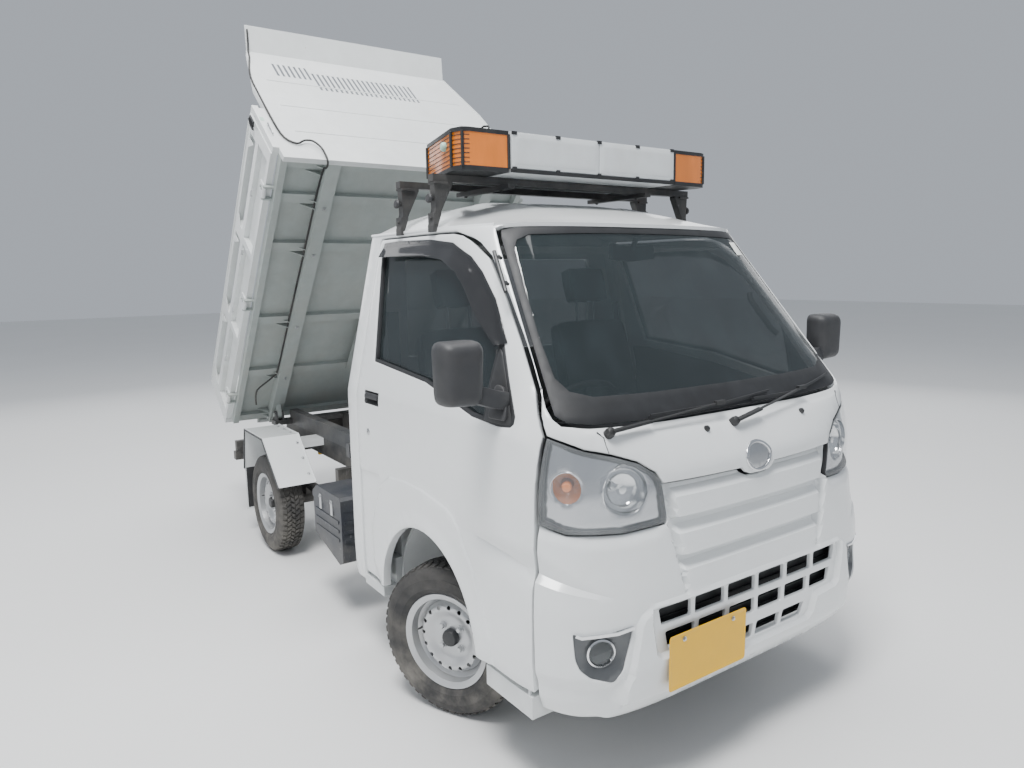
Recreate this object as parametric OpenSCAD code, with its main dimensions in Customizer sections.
// Kei truck with a hydraulic tipping bed, parked with the bed raised.
// Every module is drawn in axle coordinates: the origin is on the ground below the
// front axle, +X to the front, +Y to the truck's left, +Z up. place() then moves the
// whole truck so that its own origin is the bottom centre of its box.

/* [Running gear] */
// Distance between the axles
wheelbase = 1900; // [1780:10:2050]
// Distance between the centre planes of the rear tyres
rear_track = 1290; // [1230:5:1300]
// Outer radius of the tyres, which is also the height of the axles
tyre_r = 267; // [255:1:275]
// Width of the tyres
tyre_w = 145; // [130:1:150]
// Radius of the rim's bead seat
rim_r = 152; // [146:1:158]
// Kingpin distance from the centre line
kingpin_y = 585; // [575:1:592]
// Distance from the kingpin to the wheel's centre plane
kingpin_offset = 65; // [60:1:70]
// Angle that the front wheels are turned to the left as it stands
steer_rest = 25; // [0:1:30]

/* [Cab] */
// Greatest width of the cab
cab_w = 1475; // [1460:5:1520]
// Reach of the bumper ahead of the front axle
front_reach = 780; // [770:2:800]
// Distance of the cab's back face behind the front axle
cab_rear = 600; // [580:2:620]
// Height of the roof at its highest point
roof_h = 1772; // [1760:2:1790]
// Height of the rain gutter, where the doors end
gutter_h = 1650; // [1640:1:1656]
// Thickness of the lower half of a door
door_t = 55; // [45:1:60]
// Gap between a door and the panels round it
door_gap = 8; // [6:0.5:10]
// Radius of the front wheel arches
arch_r = 320; // [312:1:328]

/* [Bed] */
// Length of the bed's floor
bed_len = 1860; // [1800:5:1900]
// Width of the bed over its side gates
bed_w = 1470; // [1440:5:1500]
// Height of the gates over the floor
gate_h = 356; // [300:2:400]
// Thickness of a gate
gate_t = 30; // [24:1:34]
// Height of the headboard's bend above the floor rails
headboard_h = 1033; // [1000:1:1060]
// Angle that the bed is raised as it stands
bed_tilt = 50.5; // [0:0.5:55]
// Distance of the hoist hinge behind the front axle
hinge_back = 2400; // [2380:5:2420]
// Height of the hoist hinge above the ground
hinge_h = 660; // [650:1:680]

/* [Roof sign] */
// Width of the sign box
sign_w = 1176; // [1000:4:1200]
// Height of the sign box
sign_h = 136; // [110:2:150]
// Depth of the sign box from front to back
sign_d = 400; // [340:5:410]
// Height of the sign box's base above the ground
sign_z = 1832; // [1828:2:1850]

/* [Hidden] */
$fn = 48;
side_w = cab_w / 2;
corner_d = 330;             // how far behind the nose the sides start to curve in
corner_p = 3;               // power along X of the superellipse that rounds the cab in plan
sill_z = 335;               // lower edge of the doors
belt_z = 1060;              // height where the sides start to lean in
lean = 0.224;               // how far the sides lean in for each millimetre of height
door_rear = -515;
door_front = front_reach - 188;
arch_z = tyre_r + 63;       // height of the arch's centre
rear_x = -wheelbase;
hinge = [-hinge_back, 0, hinge_h];
bed_front = hinge_back - cab_rear - 40;   // from the hinge to the headboard's front face
bed_rear = bed_front - bed_len;           // from the hinge to the rear end of the floor
rail_w0 = 30;               // underside of the bed's rails, over the hinge
rail_y = 455;               // centre of a bed rail
gate_gap = 5;               // gap between a gate and the floor
floor_w0 = 95;              // underside of the floor plate
floor_w1 = 99;
gate_top = floor_w1 + gate_h;
bed_half = bed_w / 2;
bed_in = bed_half - gate_t - gate_gap;
frame_y = 360;              // centre of a chassis rail
frame_top = 600;
subframe_top = hinge_h + rail_w0 - 5;

// The cylinder's two pins: one on the chassis, one under the bed
cyl_base = [-hinge_back + 80, 0, 470];
eye_u = 560;
eye_w = 0;
function raised(u, w, a = bed_tilt) = hinge + [u * cos(a) - w * sin(a), 0, u * sin(a) + w * cos(a)];
rod_eye = raised(eye_u, eye_w);
cyl_vec = rod_eye - cyl_base;
cyl_len = norm(cyl_vec);
cyl_angle = atan2(cyl_vec[2], cyl_vec[0]);

// The truck's own origin is the bottom centre of its box
rear_reach = -raised(bed_rear - gate_t - gate_gap, gate_top)[0];
plate_t = 3;
rib_zs = [640, 740, 840];   // heights of the grille's ribs
rib_out = 9;                // how far a rib stands out
nose_x = max([for (z = rib_zs) front_x(z) + rib_out]);
front_axle_x = (rear_reach - nose_x) / 2;

white = "whitesmoke";
black = "#22252a";

module place() translate([front_axle_x, 0, 0]) children();
module both_sides() {
    children();
    mirror([0, 1, 0]) children();
}
module block(x0, x1, y0, y1, z0, z1) translate([x0, y0, z0]) cube([x1 - x0, y1 - y0, z1 - z0]);
module across(x, z, r, y0, y1) translate([x, y0, z]) rotate([-90, 0, 0]) cylinder(r = r, h = y1 - y0);
module along(x0, x1, y, z, r) translate([x0, y, z]) rotate([0, 90, 0]) cylinder(r = r, h = x1 - x0);
// A prism whose outline is drawn in the XZ plane
module side_prism(y0, y1) translate([0, y1, 0]) rotate([90, 0, 0]) linear_extrude(y1 - y0) children();

// ---- The cab's outer skin, as functions that every cab panel shares ----

function front_x(z) = front_reach + lookup(z, [
    [240, -58], [270, -42], [330, -14], [420, 0], [560, 0], [700, -4], [900, -8], [960, -16],
    [1030, -55], [1100, -108], [1655, -530], [1800, -640]]);
function half_w(z) = side_w + lookup(z, [[240, -26], [330, -4], [420, 0], [belt_z, 0], [2060,
    -1000 * lean]]);
// Power across Y: the corners are squarer at the bumper and the windscreen than at the lamps
function corner_q(z) = lookup(z, [[250, 6], [600, 5], [700, 3.6], [820, 2.8], [960, 2.8], [1040, 4],
    [1110, 6.4]]);
function corner_x(z) = front_x(z) - corner_d;
function skin_y(x, z) = x <= corner_x(z) ? half_w(z)
    : half_w(z) * pow(max(0, 1 - pow((x - corner_x(z)) / corner_d, corner_p)), 1 / corner_q(z));
function skin_x(y, z) = corner_x(z)
    + corner_d * pow(max(0, 1 - pow(abs(y) / half_w(z), corner_q(z))), 1 / corner_p);
function door_front_x(z) = door_front + lookup(z, [
    [200, 0], [1068, 0], [1186, -69], [1312, -168], [1436, -271], [1551, -377], [1607, -470],
        [gutter_h, -600]]);
function glass_half(z) = lookup(z, [[1100, 655], [1620, 556], [1700, 540]]);
function roof_mid(x) = roof_h + lookup(x, [
    [-cab_rear, -50], [-cab_rear + 40, -16], [-450, -4], [-300, 0], [-100, -20], [50, -50],
    [150, -79], [250, -110], [300, -125]]);
function mix(a, b, t) = a + (b - a) * t;

// A closed sheet between two grids of points; the first grid is the outer face
module sheet(out, inn) {
    nu = len(out[0]);
    nv = len(out);
    n = nu * nv;
    last = nu - 1;
    top = nv - 1;
    points = concat([for (row = out) each row], [for (row = inn) each row]);
    function id(i, j, k) = k * n + j * nu + i;
    quads = concat(
        [for (j = [0:nv - 2], i = [0:nu - 2]) [id(i, j, 0), id(i + 1, j, 0), id(i + 1, j + 1, 0), id(i,
            j + 1, 0)]],
        [for (j = [0:nv - 2], i = [0:nu - 2]) [id(i, j + 1, 1), id(i + 1, j + 1, 1), id(i + 1, j, 1),
            id(i, j, 1)]],
        [for (i = [0:nu - 2]) [id(i, 0, 1), id(i + 1, 0, 1), id(i + 1, 0, 0), id(i, 0, 0)]],
        [for (i = [0:nu - 2]) [id(i, top, 0), id(i + 1, top, 0), id(i + 1, top, 1), id(i, top, 1)]],
        [for (j = [0:nv - 2]) [id(0, j, 0), id(0, j + 1, 0), id(0, j + 1, 1), id(0, j, 1)]],
        [for (j = [0:nv - 2]) [id(last, j, 1), id(last, j + 1, 1), id(last, j + 1, 0), id(last, j, 0)]]);
    polyhedron(points, [for (q = quads) each [[q[2], q[1], q[0]], [q[3], q[2], q[0]]]]);
}

// A stretch of the front of the cab, across the car from -y1 to y1
module front_sheet(z0, z1, y1, t, nu = 16, nv = 6)
    sheet([for (j = [0:nv]) [for (i = [0:nu]) let (z = mix(z0, z1, j / nv), y = mix(-y1, y1, i / nu))
            [skin_x(y, z), y, z]]],
        [for (j = [0:nv]) [for (i = [0:nu]) let (z = mix(z0, z1, j / nv), y = mix(-y1, y1, i / nu))
            [skin_x(y, z) - t, y, z]]]);

// A stretch of the cab's corner from the front, at half width inner(z), round to the door's edge
module corner_sheet(z0, z1, inner, t, gap, nu = 8, nv = 8) {
    function turn(z) = [asin(pow(inner(z) / half_w(z), corner_q(z) / 2)),
        acos(pow(max(0, door_front_x(z) + gap - corner_x(z)) / corner_d, corner_p / 2))];
    function at(i, j, inset) = let (z = mix(z0, z1, j / nv), ab = turn(z), a = mix(ab[0], ab[1], i / nu))
        [max(door_front_x(z) + gap, corner_x(z) + (corner_d - inset) * pow(cos(a), 2 / corner_p)),
            -(half_w(z) - inset) * pow(sin(a), 2 / corner_q(z)), z];
    sheet([for (j = [0:nv]) [for (i = [nu:-1:0]) at(i, j, 0)]],
        [for (j = [0:nv]) [for (i = [nu:-1:0]) at(i, j, t)]]);
}

// ---- Chassis ----

eye_y = -300;   // how far right of the centre line the lashing eyes are
eye_t = 12;
module ladder_frame() color(black) {
    both_sides() side_prism(-frame_y - 25, -frame_y + 25)
        polygon([[620, 300], [150, 300], [-280, 500], [-2480, 500], [-2480, frame_top], [-300, frame_top],
            [180, 390], [620, 390]]);
    for (x = [560, -760, -1480, -2440]) block(x - 30, x + 30, -frame_y, frame_y,
        x > 0 ? 310 : 515, x > 0 ? 380 : 585);
    // Flat eyes for a lashing hook, in front of the first and the last cross member
    for (eye = [[630, 310], [-2370, 515]]) difference() {
        union() {
            translate([eye[0], eye_y, eye[1]]) cylinder(r = 32, h = eye_t);
            block(eye[0] - 45, eye[0], eye_y - 32, eye_y + 32, eye[1], eye[1] + eye_t);
        }
        translate([eye[0], eye_y, eye[1] - 1]) cylinder(r = 15, h = eye_t + 2);
    }
}

module engine() color("dimgray") block(-700, -250, -230, 230, 330, 640);

module rear_axle() color(black) {
    across(rear_x, tyre_r, 36, -rear_track / 2 + 62, rear_track / 2 - 62);
    across(rear_x, tyre_r, 88, -90, 90);
    both_sides() {
        block(rear_x - 540, rear_x + 560, -505, -455, tyre_r + 70, tyre_r + 94);
        block(rear_x - 70, rear_x + 70, -505, -455, tyre_r + 30, tyre_r + 70);
        for (x = [rear_x - 520, rear_x + 540])
            block(x - 20, x + 20, -505, -frame_y - 25.3, tyre_r + 94, 540);
        // Brake drum, which carries the wheel's hub face
        across(rear_x, tyre_r, 110, -rear_track / 2 + 21, -rear_track / 2 + 70);
        across(rear_x, tyre_r, 50, -rear_track / 2 - hub_face + 0.3, -rear_track / 2 + 22);
    }
}

module front_suspension() color(black) {
    block(-60, 60, -frame_y + 25.3, frame_y - 25.3, 300, 400);
    // Stabiliser bar, hung under the rails
    across(170, 268, 14, -440, 440);
    both_sides() {
        block(155, 185, -frame_y - 15, -frame_y + 15, 275, 299.7);
        hull() {
            block(-110, 110, -360, -330, 210, 228);
            block(-22, 22, -kingpin_y - 2, -kingpin_y + 20, 210, 228);
        }
        block(-40, 40, -360, -335, 228, 300);
        // Strut from the arm's end to its tower under the seats
        translate([0, -505, 228]) cylinder(r = 24, h = 330);
        translate([0, -505, 400]) cylinder(r = 48, h = 180);
        block(-60, 60, -555, -frame_y - 25.3, 580, 598);
    }
}

shaft_front = [-704.3, 0, 420];
module propeller_shaft() color("dimgray") translate(shaft_front) {
    run = [rear_x - shaft_front[0], tyre_r - shaft_front[2]];
    rotate([0, -90 - atan2(-run[1], -run[0]), 0]) cylinder(r = 30, h = norm(run) - 88.5);
}

module exhaust() color("gray") {
    along(-1500, -1080, 235, 400, 75);
    along(-2300, -1500, 235, 400, 20);
    along(-1080, -705, 235, 400, 20);
    for (x = [-1480, -1100]) block(x - 10, x + 10, 225, 334.5, 470, 514.7);
}

// The tank hangs from the left chassis rail on two brackets, with a groove for each strap
module fuel_tank() color(black) difference() {
    union() {
        block(-1310, -750, 400, 660, 300, 520);
        for (x = [-1200, -860]) block(x - 20, x + 20, frame_y + 25.3, 400, 505, 520);
    }
    for (x = [-1200, -860]) block(x - 12, x + 12, 655, 670, 290, 530);
}

module battery_box() color("#2b2f38") {
    side_prism(-715, -440) polygon([[-1130, 330], [-840, 250], [-800, 270], [-800, 560], [-1080, 560],
        [-1130, 520]]);
    block(-1040, -880, -440, -frame_y - 25.3, 505, 560);
}

function fender_line(x) = [[x - 345, 400], [x - 290, 640], [x + 40, 640], [x + 285, 420]];
module rear_fenders() color(white) both_sides() {
    p = fender_line(rear_x);
    side_prism(-722, -520) polygon(concat(p, [p[3] + [-4, -2], p[2] - [2, 4], p[1] - [-4, 4],
        p[0] + [4, -1]]));
    // The flat inner cheek bolts the fender to the chassis rail
    side_prism(-524, -519.9) polygon([p[0] + [60, 60], p[1] + [6, -1], p[2] + [-4, -1], p[3] + [-70, 40]]);
    block(rear_x - 60, rear_x + 60, -520, -frame_y - 25.3, 560, 600);
}

module mud_flaps() color("#151618") both_sides()
    block(rear_x - 349, rear_x - 345.3, -718, -525, 150, 470);

module rear_bumper() color(black) {
    block(-2550, -2500, -700, 700, 390, 440);
    block(-2500, -2480.3, -frame_y - 20, frame_y + 20, 395, 435);
    both_sides() {
        block(-2500, -2480.3, -frame_y - 20, -frame_y + 20, 435, 560);
        block(-2545, -2505, -690, -560, 440, 505);
    }
}

// Steel subframe bolted on the chassis: the bed rests and hinges on it
module hoist_frame() color("#3a3d42") {
    both_sides() {
        block(-hinge_back, -690, -frame_y - 25, -frame_y + 25, frame_top + 0.3, subframe_top);
        // Hinge ears, one each side of the bed's hinge lug
        for (y = [-rail_y - 25, -rail_y + 13]) difference() {
            hull() {
                across(-hinge_back, hinge_h, 24, y, y + 12);
                block(-hinge_back - 40, -hinge_back + 40, y, y + 12, hinge_h - 55, hinge_h - 50);
            }
            across(-hinge_back, hinge_h, 12.5, y - 1, y + 13);
        }
        // Pads that the bed's rails come down on
        for (x = [-720, -1250]) block(x - 20, x + 20, -rail_y - 30, -rail_y + 30, 655, subframe_top);
    }
    for (x = [-720, -1250]) block(x - 20, x + 20, -rail_y - 30, rail_y + 30, 620, 655);
    block(-hinge_back - 40, -hinge_back + 40, -rail_y - 35, rail_y + 35, frame_top + 0.3, hinge_h - 32);
    // Cradle for the foot of the hoist cylinder
    for (y = [-52, 40]) difference() {
        block(cyl_base[0] - 60, cyl_base[0] + 32, y, y + 12, cyl_base[2] - 32, hinge_h - 32);
        across(cyl_base[0], cyl_base[2], 15.05, y - 1, y + 13);
    }
    across(cyl_base[0], cyl_base[2], 15, -58, 58);
}

// ---- Cab ----

// The vertical line that a door turns on, and the radius of its pin
door_axis = [566, -718];
door_pin_r = 5;
well_r = arch_r + 22;
well_in = 405;
seat_base_z = 706;
module cab_floor() color(white) {
    difference() {
        union() {
            // Floor under the feet, and the step under each door
            block(300, front_reach - 130, -620, 620, 400, 425);
            both_sides() block(330, door_front - 8, -side_w + door_t + 25, -600, 400, 425);
            // Seat box over the wheels and the engine
            block(-cab_rear + 30, 330, -650, 650, seat_base_z - 34, seat_base_z);
            block(310, 330, -650, 650, 425, seat_base_z - 34);
            both_sides() block(-cab_rear + 30, -well_r - 12, -650, -640, 420, seat_base_z - 34);
        }
        both_sides() across(0, arch_z, well_r + 4, -700, -well_in - 4);
    }
    // Liners over the front wheels
    both_sides() difference() {
        across(0, arch_z, well_r + 7.5, -655, -well_in);
        across(0, arch_z, well_r, -656, -well_in - 10);
        block(-500, 500, -700, -300, -200, arch_z);
        // Slot that the top of the strut passes through
        block(-75, 75, -well_in - 11, -well_in + 1, 565, 612);
    }
    // Sills at the bottom edge of the body, each with the pin that its door turns on
    both_sides() {
        block(well_r + 10, door_front - 6, -side_w + 12, -side_w + 92, 262, sill_z - door_gap);
        block(well_r + 10, door_front - 6, -side_w + 80, -side_w + 98, 262, 412);
        block(door_rear - door_gap + 0.3, -well_r - 10, -side_w + 6, -side_w + 70, 290, sill_z - door_gap);
        block(-cab_rear + 30, -well_r - 12, -side_w + 62, -640, 290, 430);
        translate([door_axis[0], door_axis[1], 300]) cylinder(r = door_pin_r, h = 50);
    }
}

roof_t = 12;
pillar_top = gutter_h - roof_t - 0.3;
function side_rows(inset) = [for (z = [300, 420, 900, belt_z, 1250, 1450, pillar_top])
    [for (x = [-cab_rear + 25, door_rear - door_gap]) [x, inset - half_w(z), z]]];
module cab_back_panel() color(white) {
    difference() {
        union() {
            // Flat panel, whose top follows the underside of the roof
            translate([-cab_rear, 0, 0]) rotate([90, 0, 90]) linear_extrude(25) polygon(concat(
                [for (z = [300, belt_z, pillar_top]) [half_w(z) - 4, z]],
                [for (v = [1:-0.125:-1]) let (p = roof_pt(0, v, roof_t + 0.4)) [p[1], p[2]]],
                [for (z = [pillar_top, belt_z, 300]) [4 - half_w(z), z]]));
            // Rear pillars, from the back panel to the rear edge of each door
            both_sides() sheet(side_rows(0), side_rows(45));
        }
        // Opening of the back window
        block(-cab_rear - 1, -cab_rear + 26, -480, 480, 1170, 1560);
        // Room under the panel for the chassis rails and the engine
        block(-cab_rear - 1, -cab_rear + 26, -420, 420, 200, 690);
    }
}

function roof_pt(u, v, down) = let (x = mix(-cab_rear, skin_x(v * glass_half(gutter_h), 1652), u),
        y = v * mix(half_w(gutter_h), glass_half(gutter_h), pow(u, 6)),
        z = mix(roof_mid(x), gutter_h, pow(abs(v), 3.2)))
    [x, y * (1 - down / 1500), z - down];
module cab_roof() color(white) {
    sheet([for (v = [-1:0.125:1]) [for (u = [0:14]) roof_pt(u / 14, v, 0)]],
        [for (v = [-1:0.125:1]) [for (u = [0:14]) roof_pt(u / 14, v, roof_t)]]);
    // Windscreen pillars, from the cowl up to the roof
    both_sides() corner_sheet(1085, gutter_h - 4, function(z) glass_half(z) - 18, 34, door_gap, 4, 8);
}

// The windscreen's upper edge lies just under the front of the roof
function glass_top(y) = mix(roof_mid(skin_x(y, gutter_h + 2)), gutter_h,
    pow(abs(y) / glass_half(gutter_h), 3.2))
    - roof_t - 2;
function glass_rows(deep) = [for (j = [0:8]) [for (i = [0:16])
    let (side = mix(-1, 1, i / 16), z = mix(1104, glass_top(side * (glass_half(gutter_h) - 20)), j / 8),
        y = side * (glass_half(z) - 26.6))
    [skin_x(y, z) - deep, y, z]]];
module cab_glass() color([0.25, 0.32, 0.33, 0.55]) {
    sheet(glass_rows(3), glass_rows(9));
    block(-cab_rear + 8, -cab_rear + 14, -479.7, 479.7, 1170.3, 1559.7);
}

// Outline of a headlamp seen from the front, for the left-hand side of the picture plane (y, z)
lamp_outline = [[-393, 818], [-408, 945], [-480, 985], [-600, 1030], [-760, 1075], [-760, 828], [-600,
    800]];
module lamp_cut(grow = 0) for (s = [-1, 1]) rotate([90, 0, 90])
    linear_extrude(1000) offset(delta = grow) polygon([for (p = lamp_outline) [s * -p[0], p[1]]]);

module front_panel() color(white) difference() {
    union() {
        front_sheet(906, 1096, 560, 14, 18, 6);
        both_sides() corner_sheet(906, 1084.6, function(z) 560.3, 14, door_gap, 8, 5);
    }
    lamp_cut(4);
    for (foot = wiper_feet) wiper_pivot(foot, 14.4);
}

module grille_panel() color(white) {
    front_sheet(608.4, 905.6, 388.6, 14, 10, 4);
    for (z = rib_zs) sheet(
        [for (z1 = [z - 22, z, z + 24]) [for (i = [0:8]) let (y = mix(-372, 372, i / 8)) [skin_x(y,
            z1) + (z1 == z ? rib_out : 0.2), y, z1]]],
        [for (z1 = [z - 22, z, z + 24]) [for (i = [0:8]) let (y = mix(-372, 372, i / 8)) [skin_x(y,
            z1) - 4, y, z1]]]);
}

module front_bumper() color(white) {
    difference() {
        union() {
            front_sheet(262, 608, 600, 18, 20, 8);
            both_sides() {
                corner_sheet(262, 812, function(z) 600.3, 14, door_gap, 8, 10);
                sheet([for (z = [608.3, 700, 812]) [for (y = [-600, -520, -450, -389]) [skin_x(y, z),
                    y, z]]],
                    [for (z = [608.3, 700, 812]) [for (y = [-600, -520, -450, -389]) [skin_x(y,
                        z) - 14, y, z]]]);
            }
        }
        // Air slots: one wide one over two narrower ones
        for (s = [[527, 570, 430], [458, 500, 405], [364, 412, 262]])
            for (i = [0:5]) let (w = 2 * s[2] / 6) block(600, 900, -s[2] + i * w + 9,
                -s[2] + (i + 1) * w - 9, s[0], s[1]);
        // Pockets of the fog lamps, and room for the headlamps
        both_sides() block(500, 900, -690, -560, 440, 560);
        lamp_cut(0.6);
    }
    // Air guide behind the slots, which also ties the bumper to the chassis rails
    both_sides() block(620.4, 760, -frame_y - 20, -frame_y + 20, 320, 352);
}

lamp_t = 14;   // thickness of the lamp covers
// How far from the centre line a headlamp's inner edge is at height z
function lamp_inner(z) = lookup(z, [[812, 393], [945, 408], [985, 480], [1030, 600], [1075, 760]]);
module front_lamps() color([0.85, 0.87, 0.9, 0.8]) both_sides() {
    corner_sheet(812.3, 1050, function(z) lamp_inner(z) + 8, lamp_t, door_gap, 14, 10);
    corner_sheet(441, 559, function(z) 576, lamp_t, door_gap + 86, 5, 3);
}

plate_y = -240;
module licence_plates() color("gold") {
    translate([front_reach, plate_y - 165, 330]) cube([plate_t, 330, 165]);
    block(-2553.3, -2550.3, -165, 165, 330, 495);
}

wiper_feet = [[-524, 1058], [-54, 1046]];
// A wiper's spindle, which comes out through the panel
module wiper_pivot(foot, r) translate([skin_x(foot[0], foot[1]) - 24, foot[0], foot[1] - 18])
    rotate([0, 53, 0]) cylinder(r = r, h = 54);
module wipers() color("black") for (foot = wiper_feet) {
    wiper_pivot(foot, 14);
    a = [skin_x(foot[0], foot[1]) + 12, foot[0], foot[1] + 12];
    b = [skin_x(foot[0] + 250, 1130) + 22, foot[0] + 250, 1130];
    hull() for (p = [a, b]) translate(p) sphere(r = 8, $fn = 16);
}

module dashboard() color("#33363a") {
    difference() {
        union() {
            side_prism(-572, 572) polygon([[560, 1085], [600, 1060], [600, 780], [520, 760], [450,
                800], [410, 880],
                [405, 980], [440, 1060]]);
            // Cowl round the steering column
            on_column() cylinder(r = 42, h = column_len - 95);
        }
        on_column() cylinder(r = 11.3, h = column_len);
    }
    // Mounting plate down to the floor, in the middle
    block(480, 590, -90, 90, 425.3, 762);
    both_sides() block(500, 560, -600, -571, 425.3, 1000);
}

module seats() color("#4a4c50") for (y = [-330, 330]) translate([0, y, 0]) {
    block(-330, 190, -240, 240, seat_base_z + 0.3, 850);
    side_prism(-240, 240) polygon([[-300, 850], [-230, 850], [-380, 1330], [-470, 1330], [-410, 850]]);
    side_prism(-120, 120) polygon([[-385, 1330], [-460, 1330], [-465, 1540], [-400, 1540]]);
}

// ---- Roof rack and sign ----

bar_x = [-105, -345];
rack_foot_y = 590;
module roof_rack() color(black) {
    for (x = bar_x) {
        block(x - 16, x + 16, -rack_foot_y - 25, rack_foot_y + 25, sign_z - 24, sign_z - 0.3);
        both_sides() {
            hull() {
                block(x - 16, x + 16, -rack_foot_y - 20, -rack_foot_y + 50, sign_z - 32, sign_z - 24);
                block(x - 16, x + 16, -rack_foot_y - 16, -rack_foot_y + 4, 1708, 1722);
            }
            hull() {
                block(x - 16, x + 16, -rack_foot_y - 16, -rack_foot_y + 4, 1700, 1722);
                block(x - 20, x + 20, -half_w(gutter_h) - 14, -half_w(gutter_h) - 3, gutter_h - 8,
                    gutter_h + 12);
            }
        }
    }
    for (y = [-330, 330]) block(-390, -40, y - 15, y + 15, sign_z - 40, sign_z - 24.3);
}

sign_front = 42;
module sign_outline(inset = 0) polygon([
    [sign_front - inset, -sign_w / 2 + 40], [sign_front - inset, sign_w / 2 - 40],
    [sign_front - 12 - inset, sign_w / 2 - 12 - inset], [sign_front - 60, sign_w / 2 - inset],
    [sign_front - sign_d + 20, 500 - inset], [sign_front - sign_d + inset, 470],
    [sign_front - sign_d + inset, -470], [sign_front - sign_d + 20, -500 + inset],
    [sign_front - 60, -sign_w / 2 + inset], [sign_front - 12 - inset, -sign_w / 2 + 12 + inset]]);
module sign_box() color("lightgray") {
    difference() {
        translate([0, 0, sign_z]) linear_extrude(sign_h) sign_outline(3);
        translate([0, 0, sign_z + 12]) linear_extrude(sign_h - 24) sign_outline(20);
        // The ends are open behind the amber lenses
        for (s = [-1, 1]) block(-sign_d, 100, min(s * 388, s * 700), max(s * 388, s * 700),
            sign_z + 12, sign_z + sign_h - 12);
    }
    // Lamp inside each end
    both_sides() translate([-120, -470, sign_z + 12]) cylinder(r = 45, h = 90);
}
module sign_lenses() color("#9a5a14") difference() {
    translate([0, 0, sign_z + 12.3]) linear_extrude(sign_h - 24.6) sign_outline(0);
    translate([0, 0, sign_z + 12]) linear_extrude(sign_h - 24) sign_outline(3.3);
    block(-sign_d - 100, 100, -388.3, 388.3, sign_z, sign_z + sign_h);
}

// ---- Steering ----

column_foot = [505, -330, 800];
column_angle = 48;
column_len = 330;   // from the foot to the middle of the wheel's rim
module on_column() translate(column_foot) rotate([0, -column_angle, 0]) children();
module steering_wheel() color(black) on_column() {
    translate([0, 0, column_len]) rotate_extrude() translate([178, 0]) circle(r = 14);
    translate([0, 0, column_len - 89]) cylinder(r = 22, h = 94);
    for (a = [90, 210, 330]) rotate([0, 0, a]) block(20, 170, -14, 14, column_len - 8, column_len + 4);
    translate([0, 0, column_len - 10]) cylinder(r = 55, h = 26);
    translate([0, 0, column_len - 150]) cylinder(r = 11, h = 70);
}

module at_wheel(front, side) {
    if (front) translate([0, side * kingpin_y, tyre_r]) rotate([0, 0, steer_rest]) translate([0,
        side * kingpin_offset, 0]) children();
    else translate([rear_x, side * rear_track / 2, tyre_r]) children();
}
hub_face = 16;   // how far outside its centre plane a wheel is bolted to its hub
module knuckle(side) color("dimgray") translate([0, side * kingpin_y, tyre_r]) rotate([0, 0, steer_rest])
    mirror([0, side > 0 ? 1 : 0, 0]) {
        // Ball joint under the kingpin, upright, brake disc and hub
        translate([0, 0, 228.3 - tyre_r]) cylinder(r = 14, h = 20);
        across(0, 0, 36, -50, 0);
        across(0, 0, 105, -32, -20);
        across(0, 0, 50, -kingpin_offset - hub_face + 0.3, -49);
        block(-20, 20, 0, 30, -30, 110);
    }

// ---- Wheels ----

module tyre() color("#1d1e20") rotate([90, 0, 0]) rotate_extrude($fn = 96) polygon([
    [rim_r + 0.4, 49.6], [rim_r + 14.3, 53.5], [rim_r + 16.7, 61.5], [rim_r + 24, 66], [tyre_r - 70,
        tyre_w / 2], [tyre_r - 30, tyre_w / 2 - 4],
    [tyre_r - 8, tyre_w / 2 - 12], [tyre_r, tyre_w / 2 - 30], [tyre_r, -tyre_w / 2 + 30],
    [tyre_r - 8, -tyre_w / 2 + 12], [tyre_r - 30, -tyre_w / 2 + 4], [tyre_r - 70, -tyre_w / 2],
    [rim_r + 24, -66], [rim_r + 16.7, -61.5], [rim_r + 14.3, -53.5], [rim_r + 0.4, -49.6]]);

module rim() color("silver") rotate([90, 0, 0]) {
    rotate_extrude($fn = 96) polygon([
        [rim_r, -50], [rim_r + 14, -54], [rim_r + 16, -62], [rim_r + 12, -64], [rim_r - 6, -56],
            [rim_r - 8, -30],
        [rim_r - 26, -18], [rim_r - 26, 10], [rim_r - 8, 24], [rim_r - 6, 56], [rim_r + 12, 64],
            [rim_r + 16, 62],
        [rim_r + 14, 54], [rim_r, 50], [rim_r, 26], [rim_r - 20, 10], [rim_r - 20, -18], [rim_r, -32]]);
    difference() {
        rotate_extrude($fn = 96) polygon([
            [25, hub_face], [25, hub_face + 5], [78, hub_face + 5], [94, 34], [112, 38], [rim_r - 25, 10],
            [rim_r - 25, 4], [112, 32], [96, 28], [80, hub_face]]);
        for (i = [0:15]) rotate([0, 0, i * 360 / 16]) translate([112, 0, 0]) cylinder(r = 7, h = 60);
    }
    // Hub cap and wheel nuts
    rotate_extrude($fn = 96) polygon([[24, hub_face + 2], [31, hub_face + 2], [31, 40], [24, 44], [0,
        44], [0, 39], [24, 39]]);
    for (i = [0:3]) rotate([0, 0, 45 + i * 90]) translate([50, 0, hub_face + 3]) cylinder(r = 10,
        h = 14, $fn = 6);
}
// The rim's dished face looks outwards
module wheel_part(front, side) at_wheel(front, side) rotate([0, 0, side > 0 ? 180 : 0]) children();

// ---- Doors ----

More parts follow.
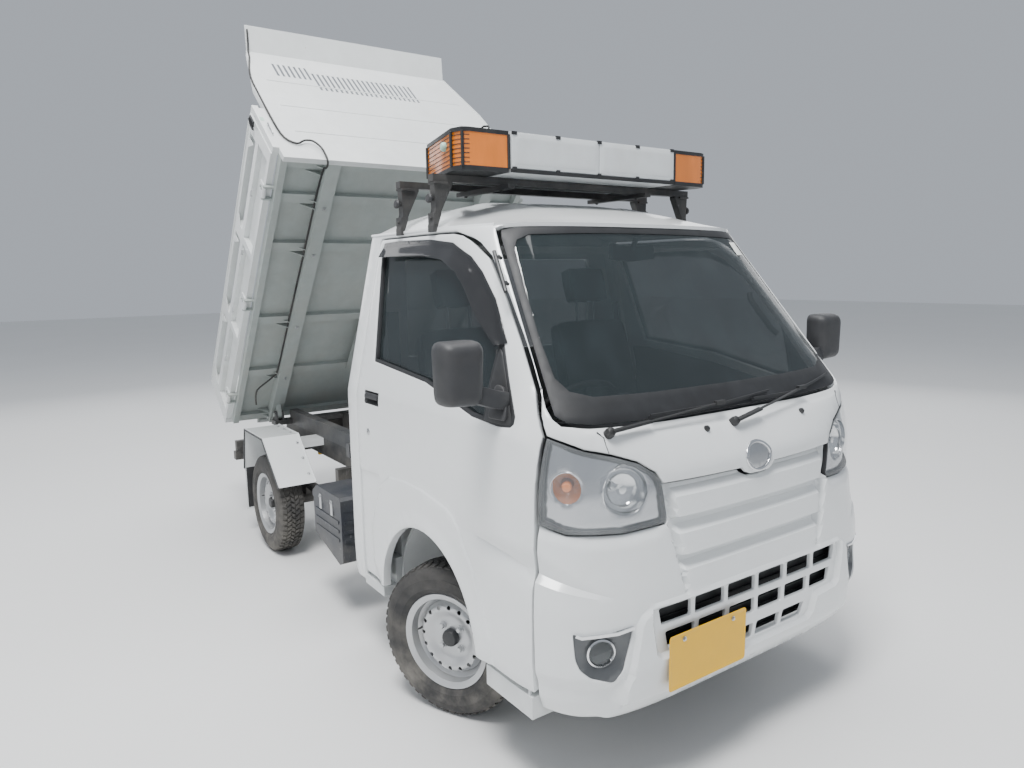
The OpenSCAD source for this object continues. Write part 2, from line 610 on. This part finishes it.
window_xs = [-440, -360, -230, -113, -17, 36, 144, 209, 294, 306, 384, 506];
function window_low(x) = lookup(x, [[-440, 1198], [-17, 1160], [306, 1090], [506, 1080]]);
function window_high(x) = lookup(x, [[-440, 1606], [-360, 1616], [-113, 1610], [36, 1596], [144, 1550],
    [209, 1503],
    [294, 1420], [384, 1300], [506, 1116]]);
window_outline = concat([for (x = window_xs) [x, window_high(x)]], [[506, 1080], [306, 1090], [-17,
    1160], [-440, 1198]]);
door_frame_t = 32;   // thickness of the frame round the window
door_rows = 14;
function door_pt(i, j, inner) = let (z = mix(sill_z, gutter_h - 18, j / door_rows),
        x = mix(door_rear, door_front_x(z) - (z > belt_z ? door_gap : 0), i / door_rows),
        thick = lookup(z, [[belt_z, door_t], [belt_z + 100, door_frame_t]]))
    [x, inner * thick - skin_y(x, z), z];
function door_rows_at(inner) = [for (j = [0:door_rows]) [for (i = [0:door_rows]) door_pt(i, j, inner)]];
module door() color(white) difference() {
    sheet(door_rows_at(0), door_rows_at(1));
    side_prism(-900, -300) polygon(window_outline);
    across(0, arch_z, arch_r, -900, -300);
    // Bore for the pin in the sill
    translate([door_axis[0], door_axis[1], sill_z - 1]) cylinder(r = door_pin_r + 0.4, h = 18);
}
module door_glass() {
    function at(x, v, inset) = let (z = mix(window_low(x) + 0.4, window_high(x) - 0.4, v))
        [x, inset - skin_y(min(x, door_front_x(z)), z), z];
    vs = [0, 0.33, 0.67, 1];
    xs = [for (x = window_xs) min(505.5, max(-439.5, x))];
    color([0.2, 0.26, 0.27, 0.6])
        sheet([for (v = vs) [for (x = xs) at(x, v, 14)]], [for (v = vs) [for (x = xs) at(x, v, 18)]]);
}
module mirror_unit() color("#26272b") {
    translate([430, -skin_y(430, 1150) - 118, 1095]) minkowski() {
        translate([0, -62, 22]) cube([40, 130, 190]);
        sphere(r = 20, $fn = 16);
    }
    hull() {
        translate([440, -skin_y(430, 1150) - 60, 1150]) cube([24, 6, 40]);
        translate([420, -skin_y(430, 1150) + 5, 1130]) cube([50, 4, 50]);
    }
}

// ---- Bed ----

module on_bed() translate(hinge) rotate([0, -bed_tilt, 0]) children();
rail_half = 420;
cross_us = [bed_rear, 290, 700, 1200, 1490, bed_front - 76];
gate_hinge_y = bed_half + 7;
gate_hinge_w = floor_w1 - 14;
gate_hinge_us = [bed_rear + 200, (bed_rear + bed_front) / 2, bed_front - 230];
module bed_floor() color("#8f9694") on_bed() {
    block(bed_rear, bed_front - 26, -bed_in, bed_in, floor_w0, floor_w1);
    for (u = cross_us) block(u, u + 50, -bed_in, bed_in, 70, floor_w0);
    both_sides() {
        block(bed_rear, bed_front - 26, -rail_y - 35, -rail_y + 35, rail_w0, floor_w0);
        block(bed_rear, bed_front - 26, -bed_in, -bed_in + 32, 55, floor_w0);
        // Hinge lug and its pin
        difference() {
            hull() {
                across(0, 0, 26, -rail_y - 12, -rail_y + 12);
                block(-60, 60, -rail_y - 12, -rail_y + 12, rail_w0, rail_w0 + 5);
            }
            across(0, 0, 12.05, -rail_y - 13, -rail_y + 13);
        }
        across(0, 0, 12, -rail_y - 32, -rail_y + 32);
        // Lugs and pins that the side gates turn on
        for (u = gate_hinge_us) {
            for (d = [-37, 27]) {
                along(u + d, u + d + 10, -gate_hinge_y, gate_hinge_w, 9);
                block(u + d, u + d + 10, -gate_hinge_y, -bed_in + 2, gate_hinge_w - 9, gate_hinge_w + 9);
            }
            along(u - 37, u + 37, -gate_hinge_y, gate_hinge_w, 6);
        }
    }
    // Pins that the tailgate turns on
    for (y = tail_hinge_ys) {
        for (d = [-37, 27]) {
            across(tail_hinge_u, gate_hinge_w, 9, y + d, y + d + 10);
            block(tail_hinge_u, bed_rear + 2, y + d, y + d + 10, gate_hinge_w - 9, gate_hinge_w + 9);
        }
        across(tail_hinge_u, gate_hinge_w, 6, y - 37, y + 37);
    }
    // Ears and pin for the cylinder's rod eye
    for (y = [-50, 38]) difference() {
        block(eye_u - 30, eye_u + 30, y, y + 12, eye_w - 24, 70);
        across(eye_u, eye_w, 12.05, y - 1, y + 13);
    }
    across(eye_u, eye_w, 12, -56, 56);
    block(290, 750, -60, 60, 66, 72);
}

hb_top = rail_w0 + headboard_h;
hb_half = 600;      // half its width at the bend
hb_low = 670;       // half its width below
slot_pitch = 29;
module headboard() color(white) on_bed() {
    difference() {
        union() {
            block(bed_front - 25, bed_front, -bed_in, bed_in, rail_w0, gate_top);
            translate([bed_front, 0, 0]) rotate([90, 0, -90]) linear_extrude(25)
                polygon([[-hb_low, gate_top - 1], [hb_low, gate_top - 1], [hb_low, 650], [hb_half, hb_top],
                    [-hb_half, hb_top], [-hb_low, 650]]);
        }
        // The board is a pressed sheet, open at the back
        block(bed_front - 26, bed_front - 3, -bed_in + 25, bed_in - 25, floor_w1 + 12, gate_top - 12);
        block(bed_front - 26, bed_front - 3, -575, 575, gate_top + 12, hb_top - 25);
        // Two groups of slots to see through
        for (i = [0:27]) block(bed_front - 30, bed_front + 1, -500 + i * slot_pitch, -486 + i * slot_pitch,
            i < 7 ? hb_top - 240 : hb_top - 340, i < 7 ? hb_top - 110 : hb_top - 160);
    }
    // Visor, bent forward over the cab roof
    side_prism(-hb_half, hb_half) polygon([[bed_front - 3, hb_top - 3], [bed_front + 96, hb_top + 93],
        [bed_front + 98, hb_top + 91], [bed_front, hb_top - 4]]);
}

// A gate's two long rails, end posts and inner skin; its outside is the first layer along -w
module gate_panel(a, b, thick) {
    n = 3;
    w = (b - a - 80) / n;
    difference() {
        translate([a, 0, floor_w1]) cube([b - a, thick, gate_h]);
        for (i = [0:n - 1]) translate([a + 40 + i * w, 0, 0]) {
            block(20, w - 20, -1, thick - 4, floor_w1 + 30, floor_w1 + gate_h * 0.5);
            block(35, w - 35, -1, thick + 1, floor_w1 + gate_h * 0.62, floor_w1 + gate_h - 42);
        }
    }
}
module side_gate() color(white) on_bed() {
    translate([0, -bed_half, 0]) gate_panel(bed_rear, bed_front - 30, gate_t);
    for (u = gate_hinge_us) {
        difference() {
            along(u - 25, u + 25, -gate_hinge_y, gate_hinge_w, 11);
            along(u - 26, u + 26, -gate_hinge_y, gate_hinge_w, 6.05);
        }
        block(u - 25, u + 25, -bed_half - 6, -bed_half, gate_hinge_w + 9, floor_w1 + 60);
    }
}
tail_hinge_u = bed_rear - gate_t - gate_gap - 7;
tail_hinge_ys = [-bed_half + 230, bed_half - 230];
module tailgate() color(white) on_bed() {
    difference() {
        block(bed_rear - gate_t - gate_gap, bed_rear - gate_gap, -bed_half, bed_half, floor_w1, gate_top);
        for (i = [0:2]) let (w = (bed_w - 80) / 3, a = -bed_half + 40 + i * w)
            block(bed_rear - gate_t - gate_gap - 1, bed_rear - gate_gap - 4, a + 20, a + w - 20,
                floor_w1 + 40, gate_top - 40);
    }
    for (y = tail_hinge_ys) {
        difference() {
            across(tail_hinge_u, gate_hinge_w, 11, y - 25, y + 25);
            across(tail_hinge_u, gate_hinge_w, 6.05, y - 26, y + 26);
        }
        block(tail_hinge_u + 1, tail_hinge_u + 7, y - 25, y + 25, gate_hinge_w + 9, floor_w1 + 60);
    }
}

// Black cable clipped down the headboard and along the right-hand rail
cable_r = 5;
// Its route in the bed's own axes: down the headboard, a loop, then along the right-hand rail
cable_path = [
    [1846, -590, 1130], [1790, -592, 1074], [1768, -597, 1040], [1766, -606, 980], [1766, -640, 850],
    [1766, -660, 740], [1766, -664, 580], [1766, -664, 320], [1766, -652, 190], [1768, -606, 142],
    [1775, -566, 162], [1778, -526, 158], [1775, -500, 110], [1770, -496, 52], [1762, -496, 20],
    [1742, -496, 11], [1722, -496, 20], [1697, -496, 46], [1570, -496, 60], [1300, -496, 60],
    [1000, -496, 60], [650, -496, 60], [340, -496, 60], [290, -512, 56], [240, -560, 50], [190, -598, 48],
    [130, -600, 45], [70, -590, 40]];
function spline(p, i, t) = let (a = p[max(0, i - 1)], b = p[i], c = p[i + 1], d = p[min(len(p) - 1, i + 2)])
    0.5 * (2 * b + (c - a) * t + (2 * a - 5 * b + 4 * c - d) * t * t + (3 * b - a - 3 * c + d) * t * t * t);
module bed_cable() color("black") on_bed() {
    p = cable_path;
    rings = concat([for (i = [0:len(p) - 2], t = [0, 0.5]) spline(p, i, t)], [p[len(p) - 1]]);
    n = len(rings);
    m = 8;
    points = [for (i = [0:n - 1]) let (ahead = rings[min(n - 1, i + 1)] - rings[max(0, i - 1)],
        d = ahead / norm(ahead),
            s = cross(d, [0.3, 1, 0.1]), e = s / norm(s), f = cross(d, e))
        each [for (k = [0:m - 1]) rings[i] + cable_r * (e * cos(360 * k / m) + f * sin(360 * k / m))]];
    polyhedron(points, concat([[for (k = [m - 1:-1:0]) k]], [[for (k = [0:m - 1]) (n - 1) * m + k]],
        [for (i = [0:n - 2], k = [0:m - 1]) let (k1 = (k + 1) % m)
            each [[i * m + k, i * m + k1, (i + 1) * m + k1], [i * m + k, (i + 1) * m + k1,
                (i + 1) * m + k]]]));
}

// ---- Hoist cylinder ----

barrel_len = 440;
rod_len = 400;
eye_play = 18;   // room round the rod's pin
module on_cylinder() translate(cyl_base) rotate([0, 90 - cyl_angle, 0]) children();
module hoist_cylinder() color("#3a3d42") on_cylinder() difference() {
    union() {
        translate([0, 0, 30]) cylinder(r = 34, h = barrel_len - 30);
        across(0, 0, 28, -34, 34);
        cylinder(r = 26, h = 40);
    }
    translate([0, 0, 50]) cylinder(r = 28.5, h = barrel_len - 75);
    translate([0, 0, 50]) cylinder(r = 18.05, h = barrel_len);
    across(0, 0, 15.05, -40, 40);
}
module hoist_rod() color("silver") on_cylinder() difference() {
    union() {
        translate([0, 0, cyl_len - rod_len]) cylinder(r = 18, h = rod_len - 34);
        translate([0, 0, cyl_len - rod_len]) cylinder(r = 28, h = 30);
        across(0, cyl_len, 12 + eye_play + 12, -24, 24);
    }
    across(0, cyl_len, 12 + eye_play, -40, 40);
}

place() ladder_frame();
place() engine();
place() rear_axle();
place() front_suspension();
place() propeller_shaft();
place() exhaust();
place() fuel_tank();
place() battery_box();
place() {
    rear_fenders();
    mud_flaps();
}
place() rear_bumper();
place() hoist_frame();
place() cab_floor();
place() cab_back_panel();
place() cab_roof();
place() cab_glass();
place() {
    front_panel();
    grille_panel();
}
place() front_bumper();
place() front_lamps();
place() licence_plates();
place() wipers();
place() dashboard();
place() seats();
place() roof_rack();
place() {
    sign_box();
    sign_lenses();
}
place() steering_wheel();
place() door();  // door_right
place() mirror([0, 1, 0]) door();  // door_left
place() door_glass();  // door_glass_right
place() mirror([0, 1, 0]) door_glass();  // door_glass_left
place() mirror_unit();  // mirror_right
place() mirror([0, 1, 0]) mirror_unit();  // mirror_left
place() knuckle(-1);  // knuckle_right
place() knuckle(1);  // knuckle_left
place() wheel_part(true, -1) tyre();  // tyre_front_right
place() wheel_part(true, 1) tyre();  // tyre_front_left
place() wheel_part(false, -1) tyre();  // tyre_rear_right
place() wheel_part(false, 1) tyre();  // tyre_rear_left
place() wheel_part(true, -1) rim();  // rim_front_right
place() wheel_part(true, 1) rim();  // rim_front_left
place() wheel_part(false, -1) rim();  // rim_rear_right
place() wheel_part(false, 1) rim();  // rim_rear_left
place() bed_floor();
place() headboard();
place() side_gate();  // side_gate_right
place() mirror([0, 1, 0]) side_gate();  // side_gate_left
place() tailgate();
place() bed_cable();
place() hoist_cylinder();
place() hoist_rod();
